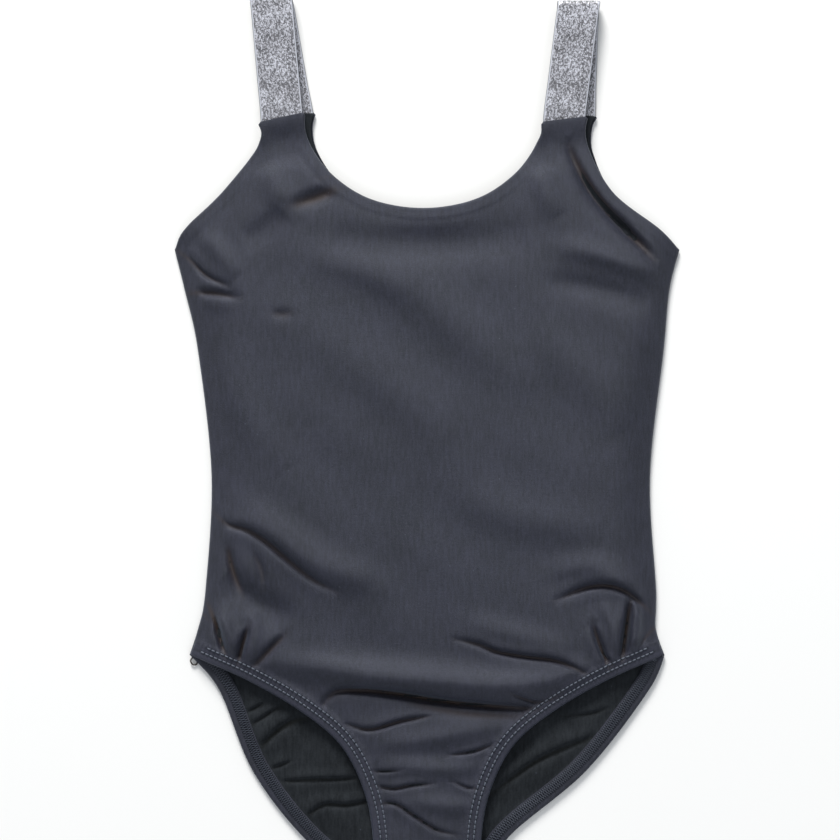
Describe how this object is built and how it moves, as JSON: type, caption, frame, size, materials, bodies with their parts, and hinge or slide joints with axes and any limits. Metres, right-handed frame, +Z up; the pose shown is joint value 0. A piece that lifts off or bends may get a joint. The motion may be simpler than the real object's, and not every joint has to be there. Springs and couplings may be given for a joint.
{
  "type": "gymnastics leotard",
  "caption": "Camisole gymnastics leotard with a scoop neck, high-cut elastic leg edges and flat glitter elastic shoulder straps, lying flat with the front up.",
  "frame": {"origin": "centre of the outline, on the surface the leotard lies on", "axes": "+Z up out of the front, +Y towards the shoulders, +X towards the wearer's left"},
  "size_m": [0.2998, 0.5332, 0.0116],
  "materials": {
    "shell": "smooth stretch knit with a soft cool sheen, charcoal",
    "lining": "matte stretch knit, darker and more neutral than the shell",
    "edge_elastic": "matte woven elastic, hidden inside the edges",
    "thread": "textured polyester thread, a shade lighter than the cloth",
    "strap_elastic": "silver metallic glitter elastic with a fine speckle and thin bright edges"
  },
  "bodies": {
    "torso": {"front_panel": "shell", "back_panel": "shell", "front_lining": "lining", "back_lining": "lining", "crotch_gusset": "lining", "side_seam_right": "lining", "side_seam_left": "lining", "crotch_seam": "lining", "neck_elastic_front": "edge_elastic", "neck_elastic_back": "edge_elastic", "armhole_elastic_right_front": "edge_elastic", "armhole_elastic_right_back": "edge_elastic", "armhole_elastic_left_front": "edge_elastic", "armhole_elastic_left_back": "edge_elastic", "leg_elastic_right_front": "edge_elastic", "leg_elastic_right_back": "edge_elastic", "leg_elastic_left_front": "edge_elastic", "leg_elastic_left_back": "edge_elastic", "leg_needle_thread_outer_right": "thread", "leg_needle_thread_inner_right": "thread", "leg_needle_thread_outer_left": "thread", "leg_needle_thread_inner_left": "thread", "leg_looper_thread_right": "thread", "leg_looper_thread_left": "thread", "thread_end": "thread", "strap_end_right_front": "strap_elastic", "strap_end_right_back": "strap_elastic", "strap_end_left_front": "strap_elastic", "strap_end_left_back": "strap_elastic"},
    "strap_loop_right": {"strap_right": "strap_elastic"},
    "strap_loop_left": {"strap_left": "strap_elastic"}
  },
  "joints": [
    {"name": "strap_right_swing", "type": "hinge", "parent": "torso", "child": "strap_loop_right", "pos_m": [-0.086, 0.19445, 0.0115], "axis": [1, 0, 0], "range_deg": [0, 170]},
    {"name": "strap_left_swing", "type": "hinge", "parent": "torso", "child": "strap_loop_left", "pos_m": [0.0812, 0.19445, 0.0115], "axis": [1, 0, 0], "range_deg": [0, 170]}
  ]
}
